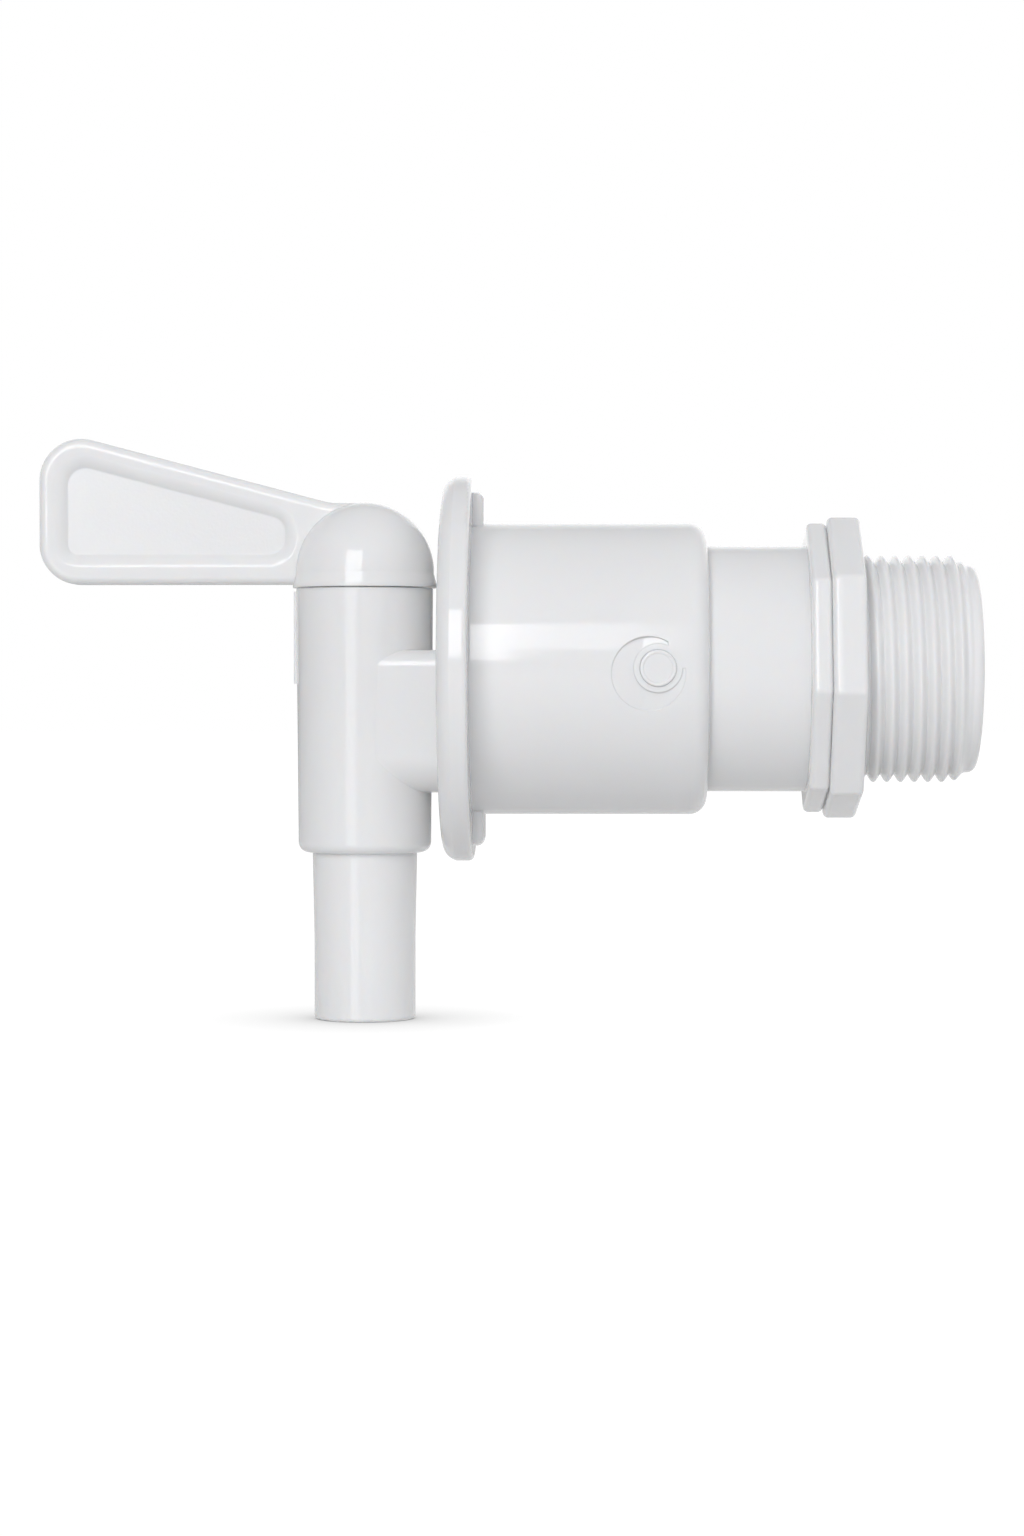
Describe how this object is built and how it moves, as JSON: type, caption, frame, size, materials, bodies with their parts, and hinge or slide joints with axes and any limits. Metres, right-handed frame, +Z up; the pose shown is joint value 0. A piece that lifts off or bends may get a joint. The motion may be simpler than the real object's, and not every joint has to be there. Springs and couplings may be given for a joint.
{
  "type": "carboy spigot",
  "caption": "White moulded carboy spigot: a lever-turned spout valve in a bayonet collar, on a male-threaded adapter with eight-sided wrench shoulders.",
  "frame": {"origin": "centre of the big wrench shoulder's thread-side face, on the inlet thread's axis", "axes": "+X along the inlet thread into the vessel, +Z up, away from the spout's mouth; the lever and the spout lie in the plane Y = 0"},
  "size_m": [0.1372, 0.0564, 0.0853],
  "materials": {
    "white_plastic": "moulded white, satin gloss",
    "slip_plastic": "natural, unpolished",
    "seal_rubber": "smooth black"
  },
  "bodies": {
    "adapter_and_body": {"threaded_adapter": "white_plastic", "tap_body": "white_plastic", "thrust_washer": "slip_plastic", "retaining_ring": "slip_plastic", "shank_seal_inner": "seal_rubber", "shank_seal_outer": "seal_rubber"},
    "collar": {"bayonet_collar": "white_plastic", "lock_pin_front": "white_plastic", "lock_pin_rear": "white_plastic"},
    "lever": {"lever_plug": "white_plastic", "plug_seal_upper": "seal_rubber", "plug_seal_lower": "seal_rubber"}
  },
  "joints": [
    {"name": "lever_turn", "type": "hinge", "parent": "adapter_and_body", "child": "lever", "pos_m": [-0.07237, 0, 0.0118], "axis": [0, 0, 1], "range_deg": [-90, 90]},
    {"name": "collar_turn", "type": "hinge", "parent": "adapter_and_body", "child": "collar", "pos_m": [-0.0412, 0, 0], "axis": [-1, 0, 0], "range_deg": [0, 60]}
  ]
}
